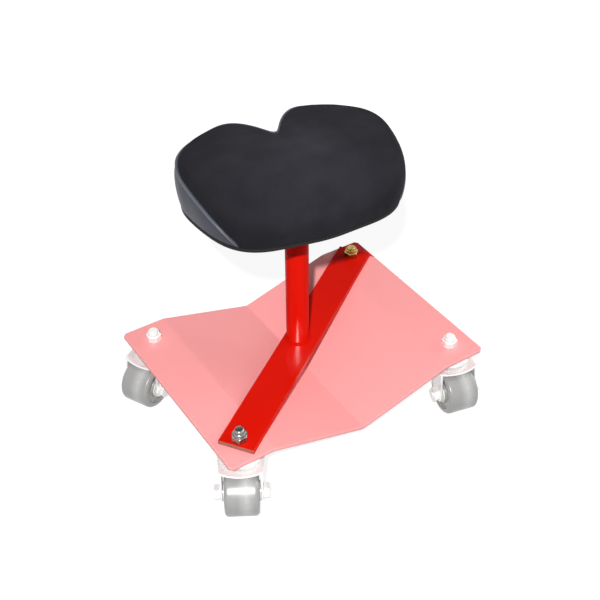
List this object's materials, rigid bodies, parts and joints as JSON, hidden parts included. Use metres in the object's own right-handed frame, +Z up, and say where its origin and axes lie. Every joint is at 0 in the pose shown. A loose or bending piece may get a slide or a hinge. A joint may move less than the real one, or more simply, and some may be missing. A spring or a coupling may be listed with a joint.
{
  "type": "creeper seat",
  "caption": "Rolling creeper seat: a notched two-lobed cushion on a swivelling post, bolted by a diagonal bar across a V-bent dolly plate on swivel casters.",
  "frame": {"origin": "on the floor, straight below the middle of the dolly plate; the axis of the seat post stands 1.8 mm left of it and 5.4 mm behind it", "axes": "+Z up, +X along the long side of the dolly plate, +Y along its short side; the rider faces -Y"},
  "size_m": [0.4437, 0.3341, 0.4013],
  "materials": {
    "plate_paint": "glossy pale pink enamel",
    "red_paint": "glossy red powder coat",
    "black_paint": "satin black paint",
    "zinc": "bright zinc plate",
    "yellow_zinc": "yellow passivated zinc plate",
    "bright_steel": "ground steel",
    "nylon": "natural nylon",
    "wheel_tread": "pale grey, satin, hard",
    "pan_plastic": "black moulded board",
    "foam": "open-cell cushion foam",
    "top_fabric": "matte charcoal upholstery cloth",
    "side_vinyl": "smooth blue-grey vinyl"
  },
  "bodies": {
    "base": {"dolly_plate": "plate_paint", "diagonal_bar": "red_paint", "seat_post": "red_paint", "post_weld": "red_paint", "upper_post_bush": "nylon", "lower_post_bush": "nylon", "spindle_keeper_screw": "zinc", "king_washers": "zinc", "plain_lock_nuts": "zinc", "yellow_lock_nut": "yellow_zinc", "front_left_stem_bolt": "zinc", "front_left_upper_race": "zinc", "front_right_stem_bolt": "zinc", "front_right_upper_race": "zinc", "back_left_stem_bolt": "zinc", "back_left_upper_race": "zinc", "back_right_stem_bolt": "zinc", "back_right_upper_race": "zinc"},
    "seat": {"seat_spindle": "bright_steel", "thrust_washer": "nylon", "seat_plate": "black_paint", "seat_plate_screws": "zinc", "seat_tee_nuts": "zinc", "seat_pan": "pan_plastic", "seat_foam": "foam", "seat_top_panel": "top_fabric", "seat_side_panel_left": "side_vinyl", "seat_side_panel_right": "side_vinyl"},
    "front_left_caster": {"front_left_balls": "bright_steel", "front_left_fork": "zinc", "front_left_axle_bolt": "zinc", "front_left_axle_nut": "zinc", "front_left_axle_sleeve": "bright_steel"},
    "front_left_roller": {"front_left_wheel": "wheel_tread", "front_left_wheel_bushes": "nylon"},
    "front_right_caster": {"front_right_balls": "bright_steel", "front_right_fork": "zinc", "front_right_axle_bolt": "zinc", "front_right_axle_nut": "zinc", "front_right_axle_sleeve": "bright_steel"},
    "front_right_roller": {"front_right_wheel": "wheel_tread", "front_right_wheel_bushes": "nylon"},
    "back_left_caster": {"back_left_balls": "bright_steel", "back_left_fork": "zinc", "back_left_axle_bolt": "zinc", "back_left_axle_nut": "zinc", "back_left_axle_sleeve": "bright_steel"},
    "back_left_roller": {"back_left_wheel": "wheel_tread", "back_left_wheel_bushes": "nylon"},
    "back_right_caster": {"back_right_balls": "bright_steel", "back_right_fork": "zinc", "back_right_axle_bolt": "zinc", "back_right_axle_nut": "zinc", "back_right_axle_sleeve": "bright_steel"},
    "back_right_roller": {"back_right_wheel": "wheel_tread", "back_right_wheel_bushes": "nylon"}
  },
  "joints": [
    {"name": "seat_swivel", "type": "hinge", "parent": "base", "child": "seat", "pos_m": [-0.0018, 0.0054, 0.3], "axis": [0, 0, 1], "continuous": true},
    {"name": "front_left_swivel", "type": "hinge", "parent": "base", "child": "front_left_caster", "pos_m": [-0.1696, -0.1191, 0.07], "axis": [0, 0, 1], "continuous": true},
    {"name": "front_left_roll", "type": "hinge", "parent": "front_left_caster", "child": "front_left_roller", "pos_m": [-0.18381, -0.14323, 0.03175], "axis": [0.8616, -0.5075, 0], "continuous": true},
    {"name": "front_right_swivel", "type": "hinge", "parent": "base", "child": "front_right_caster", "pos_m": [0.1696, -0.1191, 0.07], "axis": [0, 0, 1], "continuous": true},
    {"name": "front_right_roll", "type": "hinge", "parent": "front_right_caster", "child": "front_right_roller", "pos_m": [0.16354, -0.14644, 0.03175], "axis": [0.9763, -0.2164, 0], "continuous": true},
    {"name": "back_left_swivel", "type": "hinge", "parent": "base", "child": "back_left_caster", "pos_m": [-0.1696, 0.1191, 0.07], "axis": [0, 0, 1], "continuous": true},
    {"name": "back_left_roll", "type": "hinge", "parent": "back_left_caster", "child": "back_left_roller", "pos_m": [-0.19466, 0.10661, 0.03175], "axis": [0.4462, -0.8949, 0], "continuous": true},
    {"name": "back_right_swivel", "type": "hinge", "parent": "base", "child": "back_right_caster", "pos_m": [0.1696, 0.1191, 0.07], "axis": [0, 0, 1], "continuous": true},
    {"name": "back_right_roll", "type": "hinge", "parent": "back_right_caster", "child": "back_right_roller", "pos_m": [0.17542, 0.09171, 0.03175], "axis": [0.9781, 0.2079, 0], "continuous": true}
  ]
}
